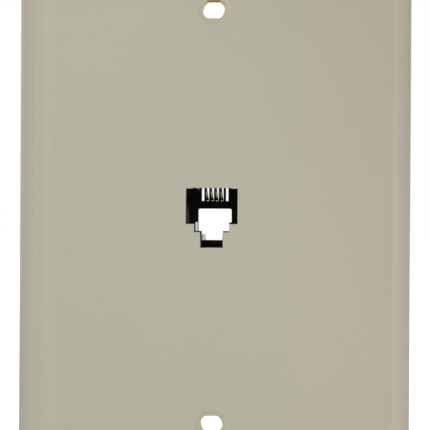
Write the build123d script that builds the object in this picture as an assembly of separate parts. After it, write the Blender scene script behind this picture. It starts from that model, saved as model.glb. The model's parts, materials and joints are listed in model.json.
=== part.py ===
from build123d import *
import math
import os

# Telephone wall socket, in millimetres.
# The wall is the plane Y = 0 and the room is towards -Y. X points right as seen from the room, Z up.

# Wall plate
plate_width = 79.4
plate_height = 123.8
plate_depth = 5.6
face_wall = 1.9
rim_wall = 2.0
edge_inset = 4.0
edge_drop = 4.2
edge_arc_height = 0.82
crease_radius = 0.9
hollow_fillet = 1.8

# Ribs on the back of the plate
rib_thickness = 1.2
rib_height = 1.6
rib_column = 27.0
rib_row = 29.0

# Screw holes: a countersunk seat, a land with two flats and a round bore through the boss
screw_spacing = 83.34
screw_hole_radius = 2.25
screw_flat_height = 3.64
screw_land = 2.3
countersink_radius = 3.4
countersink_depth = 1.27
countersink_edge = 0.3
screw_boss_radius = 5.0
screw_boss_step = 0.6

# Cut-out for the jack, from its bottom up. It lies a little to the left of the jack behind it
cutout_shift = -0.1
cutout_low = -6.11
latch_width = 4.5
latch_straight = 1.56
latch_mouth_width = 4.66
latch_taper = 1.56
step_width = 7.0
step_height = 1.63
main_width = 10.34
main_height = 7.09
relief_width = 7.8
relief_height = 0.13

# Seat and collar for the jack
jack_pocket = 1.0
jack_clearance = 0.1
collar_wall = 1.2
collar_height = 3.3
arm_width = 6.0
arm_thickness = 1.4
hook_reach = 1.0
hook_length = 1.6
hook_land = 0.5

# Jack housing
cavity_width = 10.2
side_wall = 1.5
floor_wall = 1.5
roof_wall = 1.1
mouth_width = 9.86
mouth_step_width = 6.72
mouth_latch_width = 4.06
mouth_latch_top = 4.32
mouth_step_rise = 0.22
mouth_floor_rise = 0.33
lip_thickness = 2.1
jack_length = 12.3
rear_wall = 1.7
channel_width = 7.13
channel_depth = 2.24
channel_drop = 0.04
window_width = 7.0
window_height = 6.61
window_sill = 1.255
window_radius = 0.35
wire_way_width = 6.3

# Comb and contact wires. A bow is a distance in front of the comb and the slope that follows it
position_pitch = 1.016
position_count = 6
wired_positions = (2, 3, 4, 5)
slot_width = 0.5
slot_sill = 9.495
wire_radius = 0.23
wire_bend_radius = 0.55
wire_bend_inset = 1.72
wire_bend_room = 0.2
wire_slope = 11.0
wire_bows = ((5.9, 21.0), (2.4, 15.0), (0.3, 1.0))
wire_bow_radius = 2.0
wire_end_gap = 0.6
wire_joggle_radius = 0.5
wire_joggle_start = 0.4
wire_joggle_end = 0.7
wire_gap = 0.01

# Contact carrier
tongue_rise = 0.38
tongue_width = 7.0
tongue_clearance = 0.05
ridge_gap = 0.05
tray_width = 9.2
tray_length = 4.6
tray_lift = 0.11
tray_pocket_width = 7.8
tray_pocket_length = 2.8
clamp_height = 1.4
clamp_pocket_height = 0.5

# Leads
lead_radius = 0.65
lead_pitch = 1.7
lead_rise = 0.7
lead_clearance = 0.02
upper_lead_straight = 4.5
lower_lead_straight = 5.5

# Terminals
post_column = 17.0
post_row = 18.0
post_radius = 3.3
post_height = 7.7
post_core_depth = 6.3
screw_core_radius = 1.35
screw_length = 7.0
screw_fit = 0.02
screw_head_radius = 3.2
screw_head_height = 2.2
screw_head_round = 1.1
screw_slot_width = 0.9
screw_slot_depth = 1.1
washer_radius = 3.5
washer_thickness = 0.8
washer_bore = 1.75
lug_thickness = 0.8
lug_radius = 3.0
lug_slot_width = 3.7
lug_neck_width = 2.2
barrel_radius = 1.1
barrel_length = 4.0
barrel_start = 3.9
lead_insertion = 3.0

# Places that follow from the sizes above
face_plane = -plate_depth
ceiling_plane = face_plane + face_wall
land_plane = face_plane + countersink_depth + screw_land
screw_boss_plane = land_plane + screw_boss_step
crease_reach = edge_inset + crease_radius
latch_top = cutout_low + latch_straight + latch_taper
step_top = latch_top + step_height
main_top = step_top + main_height
relief_top = main_top + relief_height
jack_front = ceiling_plane - jack_pocket
jack_rear = jack_front + jack_length
lip_rear = jack_front + lip_thickness
comb_front = jack_rear - rear_wall
housing_half_width = cavity_width / 2 + side_wall
channel_low = cutout_low - channel_drop
channel_ledge = step_top - channel_depth
cavity_floor = step_top + mouth_floor_rise
housing_low = channel_low - floor_wall
window_low = cutout_low + window_sill
tongue_low = relief_top + tongue_rise
tongue_thickness = 2 * (wire_bend_radius - wire_radius - wire_gap)
tongue_top = tongue_low + tongue_thickness
wire_top_height = tongue_top + wire_gap + wire_radius
ridge_top = wire_top_height + wire_radius
tunnel_top = ridge_top + tongue_clearance
housing_top = tunnel_top + roof_wall
wire_bend_depth = jack_front + wire_bend_inset + wire_radius + wire_bend_radius
lead_height = wire_top_height + lead_rise
tray_low = tongue_low + tray_lift
tray_rear = jack_rear + tray_length
tray_pocket_rear = jack_rear + tray_pocket_length
post_top = ceiling_plane + post_height
washer_base = post_top + lug_thickness
head_base = washer_base + washer_thickness
barrel_height = post_top + barrel_radius
cutter_margin = 1.0
radius_match = 0.001
terminals = {
    "black": ("left", "low"),
    "red": ("left", "high"),
    "green": ("right", "high"),
    "yellow": ("right", "low"),
}
lead_of_position = {2: "black", 3: "red", 4: "green", 5: "yellow"}
screw_slot_angles = {"black": 12, "red": 64, "green": -35, "yellow": 20}

# Bends of the leads between the tray and the lugs: outwards, backwards and upwards from the tray
upper_lead_bends = [
    (0.0, 2.8, 0.0),
    (0.15, 6.0, 3.6),
    (0.55, 4.6, 8.4),
    (1.75, -0.2, 10.6),
    (3.35, -4.8, 10.4),
]
lower_lead_bends = [
    (0.0, 2.8, 0.0),
    (3.05, 6.0, -0.8),
    (7.65, 6.0, -3.8),
    (11.85, 2.8, -7.6),
    (14.05, -2.4, -10.8),
]


def prism(sketch, rear, front):
    """A sketch drawn in X and Z, made solid from the plane Y = rear to the plane Y = front."""
    return extrude(Plane.XZ.offset(-rear) * sketch, amount=rear - front)


def block(x_range, y_range, z_range):
    """A box between its limits along each axis."""
    sizes = [high - low for low, high in (x_range, y_range, z_range)]
    centre = [(low + high) / 2 for low, high in (x_range, y_range, z_range)]
    return Pos(*centre) * Box(*sizes)


def rod(x, z, radius, rear, front):
    """A cylinder along Y."""
    return prism(Pos(x, z) * Circle(radius), rear, front)


def position_x(position):
    """The sideways place of a contact position, counted from the left."""
    return (position - (position_count + 1) / 2) * position_pitch


def lead_x(position):
    """The sideways place of the lead that belongs to a contact position."""
    return (position - (position_count + 1) / 2) * lead_pitch


def terminal_signs(colour):
    """Which side of the jack a terminal is on: its sign along X and along Z."""
    side, level = terminals[colour]
    return (1 if side == "right" else -1, 1 if level == "high" else -1)


def tube_along(path, radius):
    """A round bar along a path."""
    return sweep(Plane(origin=path @ 0, z_dir=path % 0) * Circle(radius), path=path)


# Wall plate

def edge_cutter_face(half_span):
    """The section that the rounded edge takes off a side, in the plane Z = 0."""
    low = face_plane + edge_drop
    outer = half_span + cutter_margin
    front = face_plane - cutter_margin
    arc = SagittaArc((half_span, low), (half_span - edge_inset, face_plane), edge_arc_height)
    rest = Polyline(
        (half_span - edge_inset, face_plane),
        (half_span - edge_inset, front),
        (outer, front),
        (outer, low),
        (half_span, low),
    )
    return make_face(arc + rest)


def plate_blank():
    """The plate's outer form: a flat face with a crease, then a rounded edge down to the rim."""
    blank = prism(RectangleRounded(plate_width, plate_height, crease_reach), 0, face_plane)
    for half_span, half_run, turn in (
        (plate_width / 2, plate_height / 2, 0),
        (plate_height / 2, plate_width / 2, -90),
    ):
        run = half_run - crease_reach
        straight = extrude(Pos(0, 0, -run) * edge_cutter_face(half_span), amount=2 * run)
        for half_turn in (0, 180):
            blank -= Rot(0, turn + half_turn, 0) * straight
    centre_x = plate_width / 2 - crease_reach
    centre_z = plate_height / 2 - crease_reach
    corner_axis = Axis((centre_x, 0, 0), (0, -1, 0))
    corner = Pos(0, 0, centre_z) * revolve(edge_cutter_face(plate_width / 2), corner_axis, 90)
    for cutter in (corner, mirror(corner, Plane.YZ)):
        blank -= cutter
        blank -= mirror(cutter, Plane.XY)
    return blank


def plate_hollow():
    """The space behind the plate's face."""
    outline = RectangleRounded(
        plate_width - 2 * rim_wall, plate_height - 2 * rim_wall, crease_reach - rim_wall
    )
    hollow = prism(outline, 0, ceiling_plane)
    front_edges = hollow.faces().sort_by(Axis.Y)[0].edges()
    return fillet(front_edges, hollow_fillet)


def plate_ribs(hollow):
    """Two upright and two level ribs that stiffen the face, ending in the rim."""
    depth = (ceiling_plane, ceiling_plane + rib_height)
    half = rib_thickness / 2
    ribs = Part()
    for side in (-1, 1):
        across = side * rib_column
        up = side * rib_row
        ribs += block((across - half, across + half), depth, (-plate_height / 2, plate_height / 2))
        ribs += block((-plate_width / 2, plate_width / 2), depth, (up - half, up + half))
    return ribs & hollow


def symmetric_face(right):
    """A face whose right half has the given corners, from the bottom up."""
    left = [(-x, z) for x, z in reversed(right)]
    return make_face(Polyline(*right, *left, close=True))


def cutout_outline():
    """The outline of the plate's cut-out: a slot for the latch, a step and the plug's mouth."""
    return Pos(cutout_shift, 0) * symmetric_face([
        (latch_width / 2, cutout_low),
        (latch_width / 2, cutout_low + latch_straight),
        (latch_mouth_width / 2, latch_top),
        (step_width / 2, latch_top),
        (step_width / 2, step_top),
        (main_width / 2, step_top),
        (main_width / 2, main_top),
        (relief_width / 2, main_top),
        (relief_width / 2, relief_top),
    ])


def mouth_outline():
    """The outline of the housing's own mouth, a little narrower than the plate's cut-out."""
    return symmetric_face([
        (mouth_latch_width / 2, channel_low),
        (mouth_latch_width / 2, cutout_low + latch_straight),
        (mouth_latch_top / 2, latch_top + mouth_step_rise),
        (mouth_step_width / 2, latch_top + mouth_step_rise),
        (mouth_step_width / 2, cavity_floor),
        (mouth_width / 2, cavity_floor),
        (mouth_width / 2, main_top),
        (wire_way_width / 2, main_top),
        (wire_way_width / 2, relief_top),
    ])


def screw_hole(height):
    """A countersunk hole with two flats at its land and a round bore behind them."""
    seat_plane = face_plane + countersink_depth
    seat_profile = make_face(Polyline(
        (0, face_plane),
        (countersink_radius, face_plane),
        (screw_hole_radius, seat_plane),
        (0, seat_plane),
        close=True,
    ))
    seat = Pos(0, 0, height) * revolve(seat_profile, Axis.Y, 360)
    flats = Circle(screw_hole_radius) & Rectangle(4 * screw_hole_radius, screw_flat_height)
    land = prism(Pos(0, height) * flats, land_plane, seat_plane)
    return seat + land + rod(0, height, screw_hole_radius, screw_boss_plane, land_plane)


def jack_seat(clearance):
    """The outline of the jack housing with room round it."""
    half_width = housing_half_width + clearance
    low = housing_low - clearance
    high = housing_top + clearance
    return Pos(0, (low + high) / 2) * Rectangle(2 * half_width, high - low)


def snap_arm():
    """The right-hand arm that holds the jack, with a hook behind the housing's rear face."""
    inner = housing_half_width + jack_clearance
    outer = inner + arm_thickness
    catch = jack_rear + jack_clearance
    tip = catch + hook_length
    profile = make_face(Polyline(
        (inner, ceiling_plane),
        (outer, ceiling_plane),
        (outer, tip),
        (inner, tip),
        (inner - hook_reach, catch + hook_land),
        (inner - hook_reach, catch),
        (inner, catch),
        close=True,
    ))
    return extrude(Pos(0, 0, -arm_width / 2) * profile, amount=arm_width)


def make_wall_plate():
    """The cover plate, moulded in one with its bosses, collar, snap arms and terminal posts."""
    hollow = plate_hollow()
    plate = plate_blank() - (hollow - plate_ribs(hollow))
    for side in (-1, 1):
        height = side * screw_spacing / 2
        plate += rod(0, height, screw_boss_radius, screw_boss_plane, ceiling_plane)
    collar = prism(jack_seat(jack_clearance + collar_wall), ceiling_plane + collar_height, ceiling_plane)
    plate += collar
    arm = snap_arm()
    plate += arm
    plate += mirror(arm, Plane.YZ)
    for colour in terminals:
        across, up = terminal_signs(colour)
        x = across * post_column
        z = up * post_row
        plate += rod(x, z, post_radius, post_top, ceiling_plane)
        plate -= rod(x, z, screw_core_radius, post_top, post_top - post_core_depth)
    plate -= prism(jack_seat(jack_clearance), ceiling_plane + collar_height, jack_front)
    plate -= prism(cutout_outline(), jack_front, face_plane)
    for side in (-1, 1):
        plate -= screw_hole(side * screw_spacing / 2)
    rims = plate.edges().filter_by(GeomType.CIRCLE)
    rims = rims.filter_by(lambda edge: abs(edge.radius - countersink_radius) < radius_match)
    return fillet(rims, countersink_edge)


# Jack housing

def window_outline():
    """The window through the rear wall, as wide as the channel and as the latch slot below it."""
    window_top = window_low + window_height
    window = symmetric_face([
        (mouth_latch_width / 2, window_low),
        (mouth_latch_width / 2, channel_ledge),
        (window_width / 2, channel_ledge),
        (window_width / 2, window_top),
    ])
    upper = window.vertices().group_by(Axis.Y)[-1]
    return fillet(upper, window_radius)


def make_jack_housing():
    """The moulded body with the plug cavity, the latch channel, the comb and the window."""
    housing = prism(jack_seat(0), jack_rear, jack_front)
    housing -= prism(mouth_outline(), lip_rear, jack_front)
    cavity_half = cavity_width / 2
    inside = (lip_rear, comb_front)
    housing -= block((-cavity_half, cavity_half), inside, (cavity_floor, main_top))
    channel_half = channel_width / 2
    housing -= block((-channel_half, channel_half), inside, (channel_ledge, cavity_floor))
    latch_half = mouth_latch_width / 2
    housing -= block((-latch_half, latch_half), inside, (channel_low, channel_ledge))
    bend_front = jack_front + wire_bend_inset - wire_bend_room
    wire_way = (bend_front, comb_front)
    way_half = wire_way_width / 2
    housing -= block((-way_half, way_half), wire_way, (main_top, tongue_low))
    tunnel_half = tongue_width / 2 + tongue_clearance
    housing -= block((-tunnel_half, tunnel_half), (bend_front, jack_rear), (tongue_low, tunnel_top))
    sill = cutout_low + slot_sill
    for position in range(1, position_count + 1):
        x = position_x(position)
        slot = (x - slot_width / 2, x + slot_width / 2)
        housing -= block(slot, (comb_front, jack_rear), (sill, tongue_low))
    return housing - prism(window_outline(), jack_rear, comb_front)


# Contact carrier and lead clamp

def lead_grooves():
    """The round ways through the tray and the clamp for the four leads."""
    grooves = Part()
    for position in wired_positions:
        grooves += rod(
            lead_x(position), lead_height, lead_radius + lead_clearance, tray_rear, tray_pocket_rear
        )
    return grooves


def make_contact_carrier():
    """The tongue that the wires are wound round, with the tray for the leads at its rear."""
    half = tongue_width / 2
    nose_height = tongue_low + tongue_thickness / 2
    tongue = block((-half, half), (wire_bend_depth, jack_rear), (tongue_low, tongue_top))
    nose = Pos(0, wire_bend_depth, nose_height) * Rot(0, 90, 0) * Cylinder(tongue_thickness / 2, 2 * half)
    carrier = tongue + nose
    ridge_half = (position_pitch - 2 * wire_radius) / 2 - ridge_gap
    for step in range(len(wired_positions) + 1):
        x = position_x(wired_positions[0] + step - 0.5)
        ridge = (x - ridge_half, x + ridge_half)
        carrier += block(ridge, (wire_bend_depth, jack_rear), (tongue_top, ridge_top))
    tray_half = tray_width / 2
    carrier += block((-tray_half, tray_half), (jack_rear, tray_rear), (tray_low, lead_height))
    pocket_half = tray_pocket_width / 2
    carrier -= block((-pocket_half, pocket_half), (jack_rear, tray_pocket_rear), (tongue_top, lead_height))
    return carrier - lead_grooves()


def make_lead_clamp():
    """The bar that closes the tray and presses on the leads."""
    half = tray_width / 2
    clamp = block((-half, half), (jack_rear, tray_rear), (lead_height, lead_height + clamp_height))
    pocket_half = tray_pocket_width / 2
    pocket_top = lead_height + clamp_pocket_height
    clamp -= block((-pocket_half, pocket_half), (jack_rear, tray_pocket_rear), (lead_height, pocket_top))
    return clamp - lead_grooves()


# Contact wires

def make_contact_wire(position):
    """A sprung wire from its lead, over the tongue, round its nose and down into the comb."""
    x = position_x(position)
    x_lead = lead_x(position)
    slope = math.radians(wire_slope)
    nose_height = tongue_low + tongue_thickness / 2
    upper = FilletPolyline(
        (x_lead, tray_pocket_rear, lead_height),
        (x_lead, tray_pocket_rear - wire_joggle_end, lead_height),
        (x, jack_rear + wire_joggle_start, wire_top_height),
        (x, wire_bend_depth, wire_top_height),
        radius=wire_joggle_radius,
    )
    leave_y = wire_bend_depth - wire_bend_radius * math.sin(slope)
    leave_z = nose_height - wire_bend_radius * math.cos(slope)
    bend = ThreePointArc(
        (x, wire_bend_depth, wire_top_height),
        (x, wire_bend_depth - wire_bend_radius, nose_height),
        (x, leave_y, leave_z),
    )
    points = [(x, leave_y, leave_z)]
    bows = [(comb_front - distance, math.radians(angle)) for distance, angle in wire_bows]
    for y, next_slope in (*bows, (jack_rear - wire_end_gap, 0)):
        drop = (y - points[-1][1]) * math.tan(slope)
        points.append((x, y, points[-1][2] - drop))
        slope = next_slope
    spring = FilletPolyline(*points, radius=wire_bow_radius)
    return tube_along(Wire(upper.edges() + bend.edges() + spring.edges()), wire_radius)


# Leads

def largest_radii(points):
    """The radius of each corner's arc, as large as its two runs allow."""
    vectors = [Vector(*point) for point in points]
    radii = []
    for before, corner, after in zip(vectors, vectors[1:], vectors[2:]):
        inward = corner - before
        outward = after - corner
        half_turn = math.radians(inward.get_angle(outward)) / 2
        shorter = min(inward.length, outward.length)
        radii.append(0.45 * shorter / math.tan(half_turn))
    return radii


def lead_route(colour, position):
    """The points that a lead follows, from its contact wire to the barrel of its lug."""
    across, up = terminal_signs(colour)
    start_x = lead_x(position)
    post_x = across * post_column
    post_z = up * post_row
    reach = barrel_start + barrel_length - lead_insertion
    start = (start_x, tray_pocket_rear, lead_height)
    if up > 0:
        bends = upper_lead_bends
        end = (post_x - across * reach, barrel_height, post_z)
        turn_in = (end[0] - across * upper_lead_straight, barrel_height, post_z)
    else:
        bends = lower_lead_bends
        end = (post_x, barrel_height, post_z + reach)
        turn_in = (post_x, barrel_height, end[2] + lower_lead_straight)
    middle = [(start_x + across * x, tray_rear + y, lead_height + z) for x, y, z in bends]
    return [start, *middle, turn_in, end]


def make_lead(colour, position):
    """An insulated lead, held in the tray at one end and in its lug at the other."""
    points = lead_route(colour, position)
    radii = largest_radii(points)
    path = FilletPolyline(*points, radius=radii)
    print("lead", colour, "length", round(path.length, 1), "radii", [round(r, 1) for r in radii])
    return tube_along(path, lead_radius)


# Terminal hardware, each made at the origin with its axis along Y and its barrel towards +X

def lug_at_origin():
    """A fork lug: a flat fork open away from its barrel, a neck and a crimped barrel."""
    fork = Circle(lug_radius)
    neck = Pos(barrel_start / 2, 0) * Rectangle(barrel_start, lug_neck_width)
    opening = Circle(lug_slot_width / 2) + Pos(-lug_radius, 0) * Rectangle(2 * lug_radius, lug_slot_width)
    blade = prism(fork + neck - opening, washer_base, post_top)
    middle = barrel_start + barrel_length / 2
    at_barrel = Pos(middle, barrel_height, 0) * Rot(0, 90, 0)
    barrel = at_barrel * Cylinder(barrel_radius, barrel_length)
    bore = at_barrel * Cylinder(lead_radius + lead_clearance, barrel_length)
    foot = block(
        (lug_radius, barrel_start + barrel_length / 4),
        (post_top, washer_base),
        (-lug_neck_width / 2, lug_neck_width / 2),
    )
    return blade + foot + barrel - bore


def screw_at_origin():
    """A slotted round-head screw."""
    head_top = head_base + screw_head_height
    head = rod(0, 0, screw_head_radius, head_top, head_base)
    head = fillet(head.faces().sort_by(Axis.Y)[-1].edges(), screw_head_round)
    shank = rod(0, 0, screw_core_radius - screw_fit, head_base, head_base - screw_length)
    slot_half = screw_slot_width / 2
    slot = block(
        (-screw_head_radius, screw_head_radius),
        (head_top - screw_slot_depth, head_top),
        (-slot_half, slot_half),
    )
    return head + shank - slot


def washer_at_origin():
    """A plain washer."""
    return prism(Circle(washer_radius) - Circle(washer_bore), head_base, washer_base)


def make_terminal(colour):
    """The lug, washer and screw of one terminal, keyed by node name."""
    across, up = terminal_signs(colour)
    if up > 0:
        barrel_turn = 180 if across > 0 else 0
    else:
        barrel_turn = -90
    place = Pos(across * post_column, 0, up * post_row)
    return {
        "spade_lug_" + colour: place * Rot(0, barrel_turn, 0) * lug_at_origin(),
        "terminal_washer_" + colour: place * washer_at_origin(),
        "terminal_screw_" + colour: place * Rot(0, screw_slot_angles[colour], 0) * screw_at_origin(),
    }


def make_nodes():
    """Every piece of the socket, keyed by node name."""
    nodes = {
        "wall_plate": make_wall_plate(),
        "jack_housing": make_jack_housing(),
        "contact_carrier": make_contact_carrier(),
        "lead_clamp": make_lead_clamp(),
    }
    for position in wired_positions:
        colour = lead_of_position[position]
        nodes["contact_wire_" + str(position)] = make_contact_wire(position)
        nodes["lead_" + colour] = make_lead(colour, position)
        nodes.update(make_terminal(colour))
    return nodes


os.makedirs("parts", exist_ok=True)
for name, shape in make_nodes().items():
    export_step(shape, os.path.join("parts", name + ".step"))
    print(name, "volume", round(shape.volume, 2), "solids", len(shape.solids()))
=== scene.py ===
import json
import math

import bpy
from mathutils import Matrix, Vector


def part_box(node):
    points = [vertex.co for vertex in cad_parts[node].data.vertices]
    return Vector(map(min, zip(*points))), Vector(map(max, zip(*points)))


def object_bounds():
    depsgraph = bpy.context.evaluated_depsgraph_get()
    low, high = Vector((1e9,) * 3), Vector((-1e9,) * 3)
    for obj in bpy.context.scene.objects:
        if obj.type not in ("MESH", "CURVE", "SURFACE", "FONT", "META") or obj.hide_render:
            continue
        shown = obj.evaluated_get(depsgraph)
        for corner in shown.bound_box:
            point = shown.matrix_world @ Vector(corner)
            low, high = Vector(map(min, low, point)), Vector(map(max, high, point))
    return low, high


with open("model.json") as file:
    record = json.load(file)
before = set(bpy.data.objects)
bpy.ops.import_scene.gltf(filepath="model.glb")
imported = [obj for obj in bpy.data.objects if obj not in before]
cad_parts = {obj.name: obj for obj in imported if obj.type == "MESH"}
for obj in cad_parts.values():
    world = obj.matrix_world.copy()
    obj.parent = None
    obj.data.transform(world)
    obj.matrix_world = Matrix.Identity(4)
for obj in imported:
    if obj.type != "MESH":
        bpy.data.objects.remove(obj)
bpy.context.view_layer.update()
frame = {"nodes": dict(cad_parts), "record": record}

MM = 0.001
COLOURS = ("black", "red", "green", "yellow")
POSITIONS = (2, 3, 4, 5)


# Camera: where the photograph was taken from, with the frame taken as 430 by 430 pixels

CAMERA_YAW = 2.91
CAMERA_PITCH = 0.12
CAMERA_ROLL = 0.334
CAMERA_DISTANCE = 194.3 * MM
CAMERA_TARGET = Vector((0.58, -5.6, 0.453)) * MM
FRAME_PIXELS = 430
FOCAL_PIXELS = 976.5
SENSOR_WIDTH = 36.0
NEAREST_SEEN = 0.01
FARTHEST_SEEN = 50


def make_camera():
    """The camera that looks at the face's middle from a little to its right."""
    yaw = math.radians(CAMERA_YAW)
    pitch = math.radians(CAMERA_PITCH)
    roll = math.radians(CAMERA_ROLL)
    back = Vector((math.sin(yaw) * math.cos(pitch), -math.cos(yaw) * math.cos(pitch), math.sin(pitch)))
    right = (-back).cross(Vector((0, 0, 1))).normalized()
    up = right.cross(-back)
    turned_right = math.cos(roll) * right + math.sin(roll) * up
    turned_up = math.cos(roll) * up - math.sin(roll) * right
    data = bpy.data.cameras.new("camera")
    data.sensor_fit = "HORIZONTAL"
    data.sensor_width = SENSOR_WIDTH
    data.lens = FOCAL_PIXELS / FRAME_PIXELS * SENSOR_WIDTH
    data.clip_start = NEAREST_SEEN
    data.clip_end = FARTHEST_SEEN
    camera = bpy.data.objects.new("camera", data)
    bpy.context.scene.collection.objects.link(camera)
    place = CAMERA_TARGET + CAMERA_DISTANCE * back
    rows = [list(axis) for axis in zip(turned_right, turned_up, back)]
    camera.matrix_world = Matrix.Translation(place) @ Matrix(rows).to_4x4()
    bpy.context.scene.camera = camera


# Colours

def linear(red, green, blue):
    """A display colour given in 0..255, as the linear colour that a shader takes."""
    def one(value):
        share = value / 255
        return share / 12.92 if share <= 0.04045 else ((share + 0.055) / 1.055) ** 2.4
    return (one(red), one(green), one(blue), 1.0)


def grey(level):
    """A linear grey from 0, black, to 1, white."""
    return (level, level, level, 1.0)


# Node helpers

# Sockets of the Mix node, which keeps one set for numbers and one for colours
MIX_FACTOR = 0
MIX_NUMBERS = (2, 3)
MIX_NUMBER_OUT = 0
MIX_COLOURS = (6, 7)
MIX_COLOUR_OUT = 2


class Nodes:
    """A node tree under construction: short calls for the nodes and links used below."""

    def __init__(self, tree):
        self.tree = tree

    def feed(self, socket, value):
        """Sets a socket to a value, or links it where the value is another socket."""
        if isinstance(value, bpy.types.NodeSocket):
            self.tree.links.new(value, socket)
        else:
            socket.default_value = value

    def node(self, kind, **inputs):
        """A new node of a kind, with its inputs set from values or linked from sockets."""
        made = self.tree.nodes.new(kind)
        for key, value in inputs.items():
            self.feed(made.inputs[key.replace("_", " ")], value)
        return made

    def math(self, operation, first, second=0.0, third=0.0, clamp=False):
        """The result of one operation on up to three numbers."""
        made = self.tree.nodes.new("ShaderNodeMath")
        made.operation = operation
        made.use_clamp = clamp
        for socket, value in zip(made.inputs, (first, second, third)):
            self.feed(socket, value)
        return made.outputs[0]

    def length(self, across, up):
        """The length of a line that goes so far across and so far up."""
        squares = self.math("ADD", self.math("POWER", across, 2.0), self.math("POWER", up, 2.0))
        return self.math("SQRT", squares)

    def dot(self, vector, axis):
        """How far a vector points along an axis."""
        made = self.tree.nodes.new("ShaderNodeVectorMath")
        made.operation = "DOT_PRODUCT"
        self.feed(made.inputs[0], vector)
        self.feed(made.inputs[1], axis)
        return made.outputs["Value"]

    def rise(self, value, start, run):
        """0 up to the start, 1 from a run past the start on, and a straight ramp between."""
        return self.math("DIVIDE", self.math("SUBTRACT", value, start), run, clamp=True)

    def fall(self, value, stop, run):
        """1 up to a run before the stop, 0 from the stop on, and a straight ramp between."""
        return self.math("DIVIDE", self.math("SUBTRACT", stop, value), run, clamp=True)

    def ramp(self, value, start, stop, first, last):
        """Runs from first to last while the value runs from start to stop."""
        made = self.node("ShaderNodeMapRange", Value=value, From_Min=start, From_Max=stop)
        self.feed(made.inputs["To Min"], first)
        self.feed(made.inputs["To Max"], last)
        return made.outputs[0]

    def mix(self, data_type, sockets, values):
        """A Mix node of a data type, with these sockets fed with these values."""
        made = self.tree.nodes.new("ShaderNodeMix")
        made.data_type = data_type
        for index, value in zip(sockets, values):
            self.feed(made.inputs[index], value)
        return made

    def choose(self, factor, first, second):
        """The first number where the factor is 0, the second where it is 1."""
        made = self.mix("FLOAT", (MIX_FACTOR, *MIX_NUMBERS), (factor, first, second))
        return made.outputs[MIX_NUMBER_OUT]

    def blend(self, factor, first, second):
        """The first colour where the factor is 0, the second where it is 1."""
        made = self.mix("RGBA", (MIX_FACTOR, *MIX_COLOURS), (factor, first, second))
        return made.outputs[MIX_COLOUR_OUT]

    def any_ray(self, *kinds):
        """1 on rays of any of these kinds, 0 on the others."""
        path = self.tree.nodes.new("ShaderNodeLightPath")
        total = path.outputs[kinds[0]]
        for kind in kinds[1:]:
            total = self.math("MAXIMUM", total, path.outputs[kind])
        return total


class Shader(Nodes):
    """A material under construction."""

    def __init__(self, name):
        self.material = bpy.data.materials.new(name)
        self.material.use_nodes = True
        super().__init__(self.material.node_tree)
        self.bsdf = self.tree.nodes["Principled BSDF"]

    def surface(self, **inputs):
        """Sets the main shader's own sockets."""
        for key, value in inputs.items():
            self.feed(self.bsdf.inputs[key.replace("_", " ")], value)

    def object_place(self):
        """The place on the object, in metres in the row frame."""
        return self.node("ShaderNodeTexCoord").outputs["Object"]

    def noise(self, scale, detail=2.0, stretch=(1, 1, 1)):
        """Noise in object space: scale is in waves per metre."""
        mapped = self.node("ShaderNodeMapping", Vector=self.object_place(), Scale=stretch)
        made = self.node("ShaderNodeTexNoise", Vector=mapped.outputs[0], Scale=scale, Detail=detail)
        return made.outputs["Fac"]

    def spread(self, value, low, high):
        """Maps a value from 0..1 to low..high."""
        return self.ramp(value, 0.0, 1.0, low, high)

    def bump(self, height, distance, strength):
        """The surface's normal, tilted as relief of this height tilts it."""
        made = self.node("ShaderNodeBump", Height=height, Distance=distance, Strength=strength)
        return made.outputs[0]


# Plate: almond plastic, painted light and shade on its face, and painted light and shade in its screw
# holes

PLATE_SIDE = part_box("wall_plate")[1][0]
PLATE_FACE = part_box("wall_plate")[0][1]
PLATE_DARK = linear(180, 177, 159)
PLATE_LIGHT = linear(184, 181, 163)
PLATE_ROUGHNESS = (0.34, 0.42)
PLASTIC_IOR = 1.5
CLOUD_SCALE = 38
CLOUD_SHARE = 0.8
SPECK_SCALE = 900
SPECK_SHARE = 0.2
GRAIN_SCALE = 2600
GRAIN_DEPTH = 0.02 * MM
GRAIN_STRENGTH = 0.25

# Painted light: a lighter band along the left part of the face, standing in for a slightly tilted strip
# that catches more light
PAINTED_LIGHT_BAND = linear(184, 181, 164)
BAND_PLACE = 8.35 * MM - PLATE_SIDE
BAND_SLANT = -0.025
BAND_SOFTNESS = 0.8 * MM
# Painted light: the right side of the face tinted warmer, as warm light from the right would tint it
PAINTED_WARM_LIGHT = linear(182, 174, 157)
WARM_START = 8.0 * MM
WARM_RUN = 30.0 * MM
# Painted shade: the face darkened towards its upper right corner
PAINTED_SHADE_RISE = 0.7
PAINTED_SHADE_START = 15.0 * MM
PAINTED_SHADE_RUN = 45.0 * MM
PAINTED_SHADE_SHARE = 0.075
# Painted shade: darker lines along two creases near the sides of the face
CREASE_SHADE_COLOUR = linear(174, 169, 152)
CREASE_PLACE = PLATE_SIDE - 4.8 * MM
CREASE_WIDTH = 1.4 * MM
CREASE_SHADE_SHARE = 0.4


def face_tone(s, across, up, colour):
    """A colour with painted light and shade on the face: a painted light band near the left edge, painted
    warm light on the right side, painted shade towards the upper right, and painted shade along two
    crease lines.
    """
    band_edge = s.math("MULTIPLY_ADD", up, BAND_SLANT, BAND_PLACE)
    banded = s.blend(s.fall(across, band_edge, BAND_SOFTNESS), colour, PAINTED_LIGHT_BAND)
    warm_lit = s.blend(s.rise(across, WARM_START, WARM_RUN), banded, PAINTED_WARM_LIGHT)
    to_corner = s.math("MULTIPLY_ADD", up, PAINTED_SHADE_RISE, across)
    painted_shade = s.math("MULTIPLY", s.rise(to_corner, PAINTED_SHADE_START, PAINTED_SHADE_RUN), PAINTED_SHADE_SHARE)
    shaded = s.blend(painted_shade, warm_lit, grey(0.0))
    from_crease = s.math("ABSOLUTE", s.math("SUBTRACT", s.math("ABSOLUTE", across), CREASE_PLACE))
    crease_shade = s.math("MULTIPLY", s.fall(from_crease, CREASE_WIDTH, CREASE_WIDTH), CREASE_SHADE_SHARE)
    return s.blend(crease_shade, shaded, CREASE_SHADE_COLOUR)


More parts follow.
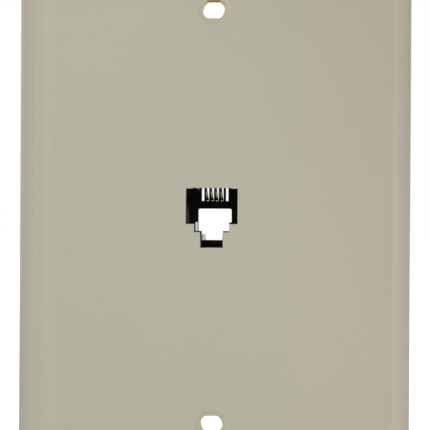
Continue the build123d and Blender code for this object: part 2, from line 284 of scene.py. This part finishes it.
WALL_SCREWS = next(mount for mount in frame["record"]["mounts"] if mount["name"] == "wall_screws")
SCREW_HEIGHT = WALL_SCREWS["dims"]["spacing_y_mm"] / 2 * MM
SEAT_RADIUS = 3.45 * MM
SEAT_EDGE = 0.1 * MM
# Painted light and shade in the countersinks: lit and shaded tones by which way each part of the cone
# faces
SEAT_PAINTED_LOW_LEFT = linear(172, 168, 149)
SEAT_PAINTED_LOW_RIGHT = linear(196, 186, 165)
SEAT_PAINTED_HIGH_LEFT = linear(196, 192, 174)
SEAT_PAINTED_HIGH_RIGHT = linear(222, 213, 193)


def screw_seats(s, across, up):
    """1 within a screw hole and its countersink, 0 elsewhere, and the countersink's painted light and
    shade: darker on its lower and left parts, lighter on its upper and right parts.
    """
    height = s.math("SUBTRACT", s.math("ABSOLUTE", up), SCREW_HEIGHT)
    seat = s.fall(s.length(across, height), SEAT_RADIUS, SEAT_EDGE)
    upwards = s.math("MULTIPLY", height, s.math("SIGN", up))
    to_top = s.rise(upwards, -SEAT_RADIUS, 2 * SEAT_RADIUS)
    to_right = s.rise(across, -SEAT_RADIUS, 2 * SEAT_RADIUS)
    low = s.blend(to_right, SEAT_PAINTED_LOW_LEFT, SEAT_PAINTED_LOW_RIGHT)
    high = s.blend(to_right, SEAT_PAINTED_HIGH_LEFT, SEAT_PAINTED_HIGH_RIGHT)
    return seat, s.blend(to_top, low, high)


WALL_FRONT = PLATE_FACE + 1.35 * MM
WALL_REAR = PLATE_FACE + 3.6 * MM
# Painted light on the hole's round wall, lighter than the plastic, and painted shade, dark olive, on its
# two flats
WALL_PAINTED_LIGHT = linear(220, 215, 190)
FLAT_PAINTED_SHADE = linear(183, 167, 100)
FLAT_REACH = 1.2 * MM
FLAT_EDGE = 0.2 * MM


def hole_walls(s, seat, across, depth):
    """1 on the wall of a screw hole behind its countersink, 0 elsewhere, and the wall's painted tone:
    painted light on the round wall, painted shade on its two flats.
    """
    past_seat = s.math("GREATER_THAN", depth, WALL_FRONT)
    before_rear = s.math("LESS_THAN", depth, WALL_REAR)
    wall = s.math("MULTIPLY", seat, s.math("MULTIPLY", past_seat, before_rear))
    flat = s.fall(s.math("ABSOLUTE", across), FLAT_REACH + FLAT_EDGE, FLAT_EDGE)
    return wall, s.blend(flat, WALL_PAINTED_LIGHT, FLAT_PAINTED_SHADE)


def plate_plastic():
    """Light almond moulded plastic with a fine grain, matt on the walls of the screw holes, with painted
    light and shade on its face, in its countersinks and on its hole walls.
    """
    s = Shader("plate_plastic")
    across, depth, up = s.node("ShaderNodeSeparateXYZ", Vector=s.object_place()).outputs
    speck = s.noise(SPECK_SCALE)
    cloud = s.math("MULTIPLY", s.noise(CLOUD_SCALE), CLOUD_SHARE)
    tone = s.math("ADD", cloud, s.math("MULTIPLY", speck, SPECK_SHARE))
    face = face_tone(s, across, up, s.blend(tone, PLATE_DARK, PLATE_LIGHT))
    seat, seat_painted_light = screw_seats(s, across, up)
    wall, wall_painted_tone = hole_walls(s, seat, across, depth)
    s.surface(
        Base_Color=s.blend(wall, s.blend(seat, face, seat_painted_light), wall_painted_tone),
        Roughness=s.math("MAXIMUM", s.spread(speck, *PLATE_ROUGHNESS), wall),
        IOR=PLASTIC_IOR,
        Normal=s.bump(s.noise(GRAIN_SCALE, detail=3), GRAIN_DEPTH, GRAIN_STRENGTH),
    )
    return s.material


# Jack: black plastic and drawn contact wires

JACK_DARK = linear(13, 12, 9)
JACK_LIGHT = linear(19, 17, 13)
JACK_ROUGHNESS = (0.10, 0.20)
JACK_SPECULAR = 0.3
HAZE_SCALE = 500
RIPPLE_SCALE = 1500
RIPPLE_DEPTH = 0.01 * MM
RIPPLE_STRENGTH = 0.2


def jack_plastic():
    """Glossy black moulded plastic."""
    s = Shader("jack_plastic")
    haze = s.noise(HAZE_SCALE, detail=3)
    s.surface(
        Base_Color=s.blend(haze, JACK_DARK, JACK_LIGHT),
        Roughness=s.spread(haze, *JACK_ROUGHNESS),
        IOR=PLASTIC_IOR,
        Specular_IOR_Level=JACK_SPECULAR,
        Normal=s.bump(s.noise(RIPPLE_SCALE), RIPPLE_DEPTH, RIPPLE_STRENGTH),
    )
    return s.material


# Painted shade: the wires' ends dull dark bronze; painted highlight: bright gold over the middle stretch
# where the wires catch light
BRONZE_SHADE_DARK = linear(112, 104, 80)
BRONZE_SHADE_LIGHT = linear(146, 138, 112)
GOLD_DARK = linear(194, 192, 128)
GOLD_LIGHT = linear(232, 230, 170)
CONTACT_ROUGHNESS = (0.08, 0.16)
DRAW_SCALE = 1500
DRAW_STRETCH = (1, 0.05, 1)
# Where along Y the painted highlight runs, with painted shade in front of and behind it
HIGHLIGHT_START = 0.4 * MM
HIGHLIGHT_END = 3.4 * MM
HIGHLIGHT_EDGE = 0.3 * MM


def contact_gold():
    """Drawn wire with faint draw lines: bright gold over a middle stretch as a painted highlight, and
    painted shade, dull dark bronze, in front of and behind it.
    """
    s = Shader("contact_gold")
    draw = s.noise(DRAW_SCALE, stretch=DRAW_STRETCH)
    bronze_shade = s.blend(draw, BRONZE_SHADE_DARK, BRONZE_SHADE_LIGHT)
    gold = s.blend(draw, GOLD_DARK, GOLD_LIGHT)
    depth = s.node("ShaderNodeSeparateXYZ", Vector=s.object_place()).outputs["Y"]
    past_start = s.rise(depth, HIGHLIGHT_START, HIGHLIGHT_EDGE)
    before_end = s.fall(depth, HIGHLIGHT_END, HIGHLIGHT_EDGE)
    s.surface(
        Base_Color=s.blend(s.math("MULTIPLY", past_start, before_end), bronze_shade, gold),
        Metallic=1.0,
        Roughness=s.spread(draw, *CONTACT_ROUGHNESS),
    )
    return s.material


# Terminals and leads: stamped or plated metal, and vinyl insulation

# Material, start of its nodes' names, dark and light colour, and roughness
METALS = (
    ("lug_tin", "spade_lug_", linear(176, 176, 172), linear(206, 205, 200), 0.34),
    ("washer_brass", "terminal_washer_", linear(176, 144, 84), linear(206, 176, 112), 0.36),
    ("screw_brass", "terminal_screw_", linear(184, 152, 90), linear(214, 184, 120), 0.30),
)
SMOOTHER = 0.06
ROUGHER = 0.08
STAIN_SCALE = 260
SCRATCH_SCALE = 1200
SCRATCH_STRETCH = (1, 1, 0.12)
SCRATCH_DEPTH = 0.01 * MM
SCRATCH_STRENGTH = 0.3


def plated_metal(name, dark, light, roughness):
    """A plated or stamped metal with fine scratches and small stains."""
    s = Shader(name)
    stain = s.noise(STAIN_SCALE, detail=3)
    scratch = s.noise(SCRATCH_SCALE, stretch=SCRATCH_STRETCH)
    s.surface(
        Base_Color=s.blend(stain, dark, light),
        Metallic=1.0,
        Roughness=s.spread(scratch, roughness - SMOOTHER, roughness + ROUGHER),
        Normal=s.bump(scratch, SCRATCH_DEPTH, SCRATCH_STRENGTH),
    )
    return s.material


VINYL_COLOURS = {
    "black": linear(22, 22, 22),
    "red": linear(176, 26, 22),
    "green": linear(24, 112, 52),
    "yellow": linear(226, 186, 40),
}
VINYL_ROUGHNESS = (0.32, 0.44)
VINYL_SHADE = 0.82
WAVE_SCALE = 420
WAVE_DEPTH = 0.03 * MM
WAVE_STRENGTH = 0.3


def vinyl(name, colour):
    """Extruded vinyl insulation: one colour with a soft sheen and faint waviness."""
    s = Shader(name)
    wave = s.noise(WAVE_SCALE)
    darker = tuple(part * VINYL_SHADE for part in colour[:3]) + (1.0,)
    s.surface(
        Base_Color=s.blend(wave, darker, colour),
        Roughness=s.spread(wave, *VINYL_ROUGHNESS),
        IOR=PLASTIC_IOR,
        Normal=s.bump(wave, WAVE_DEPTH, WAVE_STRENGTH),
    )
    return s.material


def give(material, *names):
    """Puts a material on CAD nodes."""
    for name in names:
        slots = frame["nodes"][name].data.materials
        if len(slots) == 0:
            slots.append(material)
        for index in range(len(slots)):
            slots[index] = material


def dress_nodes():
    """The material of each CAD node."""
    give(plate_plastic(), "wall_plate")
    give(jack_plastic(), "jack_housing", "contact_carrier", "lead_clamp")
    give(contact_gold(), *[f"contact_wire_{position}" for position in POSITIONS])
    for name, kind, dark, light, roughness in METALS:
        give(plated_metal(name, dark, light, roughness), *[kind + colour for colour in COLOURS])
    for colour in COLOURS:
        give(vinyl(f"lead_{colour}_vinyl", VINYL_COLOURS[colour]), f"lead_{colour}")


# World: even light, a white ground behind the object and a dim room in its reflections

# Light from straight in front of the plate and from straight behind it
FRONT_LIGHT = 0.96
BACK_LIGHT = 0.52
# What gloss sees: nearly black in front, dim at the sides, pale to the left behind, white behind
GLOSS_FRONT = 0.03
GLOSS_SIDE = 0.15
GLOSS_LEFT = 0.85
GROUND_WHITE = 1.0
LEFT_BEHIND = (-0.8, 0.6, 0.0)
# How far a direction points along Y, or along LEFT_BEHIND, where one of them passes into the next
SIDE_SPAN = (-0.9, -0.5)
LEFT_SPAN = (0.7, 0.95)
GROUND_SPAN = (0.65, 0.95)


def make_world():
    """Light from all round, fainter from behind, and what gloss and the camera see there instead."""
    world = bpy.data.worlds.new("world")
    bpy.context.scene.world = world
    world.use_nodes = True
    n = Nodes(world.node_tree)
    direction = n.node("ShaderNodeTexCoord").outputs["Generated"]
    depth = n.node("ShaderNodeSeparateXYZ", Vector=direction).outputs["Y"]
    light = n.ramp(depth, -1.0, 1.0, FRONT_LIGHT, BACK_LIGHT)
    room = n.ramp(depth, *SIDE_SPAN, GLOSS_FRONT, GLOSS_SIDE)
    to_left = n.ramp(n.dot(direction, LEFT_BEHIND), *LEFT_SPAN, 0.0, 1.0)
    to_ground = n.ramp(depth, *GROUND_SPAN, 0.0, 1.0)
    reflected = n.choose(to_ground, n.choose(to_left, room, GLOSS_LEFT), GROUND_WHITE)
    lit = n.choose(n.any_ray("Is Glossy Ray"), light, reflected)
    strength = n.choose(n.any_ray("Is Camera Ray", "Is Transmission Ray"), lit, GROUND_WHITE)
    background = world.node_tree.nodes["Background"]
    n.feed(background.inputs["Color"], grey(1.0))
    n.feed(background.inputs["Strength"], strength)


# Floor: pale, at the plate's foot, keeping the plate's shadow

FLOOR_SIZE = 6.0
FLOOR_SHADE = 0.7
FLOOR_SHEEN = 0.42
FLOOR_GLOW = 0.49
FLOOR_REACH = 1.0
FLOOR_ROUGHNESS = 0.9


def floor_paint():
    """Pale matt paint that looks white to the camera, and behind the object in reflections."""
    s = Shader("floor_paint")
    glossy = s.any_ray("Is Glossy Ray")
    depth = s.node("ShaderNodeSeparateXYZ", Vector=s.object_place()).outputs["Y"]
    behind = s.rise(depth, 0.0, FLOOR_REACH)
    seen = s.any_ray("Is Camera Ray", "Is Transmission Ray")
    glowing = s.math("MAXIMUM", seen, s.math("MULTIPLY", glossy, behind))
    s.surface(
        Base_Color=s.blend(glossy, grey(FLOOR_SHADE), grey(FLOOR_SHEEN)),
        Roughness=FLOOR_ROUGHNESS,
        Specular_IOR_Level=0.0,
        Emission_Color=grey(1.0),
        Emission_Strength=s.math("MULTIPLY", glowing, FLOOR_GLOW),
    )
    return s.material


def make_floor():
    """One large square at the height of the object's lowest point."""
    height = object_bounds()[0][2]
    half = FLOOR_SIZE / 2
    mesh = bpy.data.meshes.new("floor")
    corners = [(-half, -half, height), (half, -half, height), (half, half, height), (-half, half, height)]
    mesh.from_pydata(corners, [], [(0, 1, 2, 3)])
    mesh.materials.append(floor_paint())
    floor = bpy.data.objects.new("floor", mesh)
    bpy.context.scene.collection.objects.link(floor)


# Lamps: name, place and side in metres, power in watts, and colour

LAMPS = (
    ("key", (-0.50, -0.85, 0.40), 0.5, 1.1, (1, 1, 1)),
    ("fill", (0.44, -0.62, 0.02), 0.15, 1.3, (1.0, 0.97, 0.96)),
    ("back", (0.3, 0.9, 0.6), 0.6, 3.0, (1, 1, 1)),
)


def area_light(name, place, size, power, colour):
    """A square soft light that shines on the object's middle."""
    data = bpy.data.lights.new(name, "AREA")
    data.shape = "SQUARE"
    data.size = size
    data.energy = power
    data.color = colour
    light = bpy.data.objects.new(name, data)
    bpy.context.scene.collection.objects.link(light)
    light.location = place
    light.rotation_euler = (-Vector(place)).to_track_quat("-Z", "Y").to_euler()


make_camera()
make_world()
make_floor()
for lamp in LAMPS:
    area_light(*lamp)
dress_nodes()

bpy.context.scene.view_settings.view_transform = "Standard"
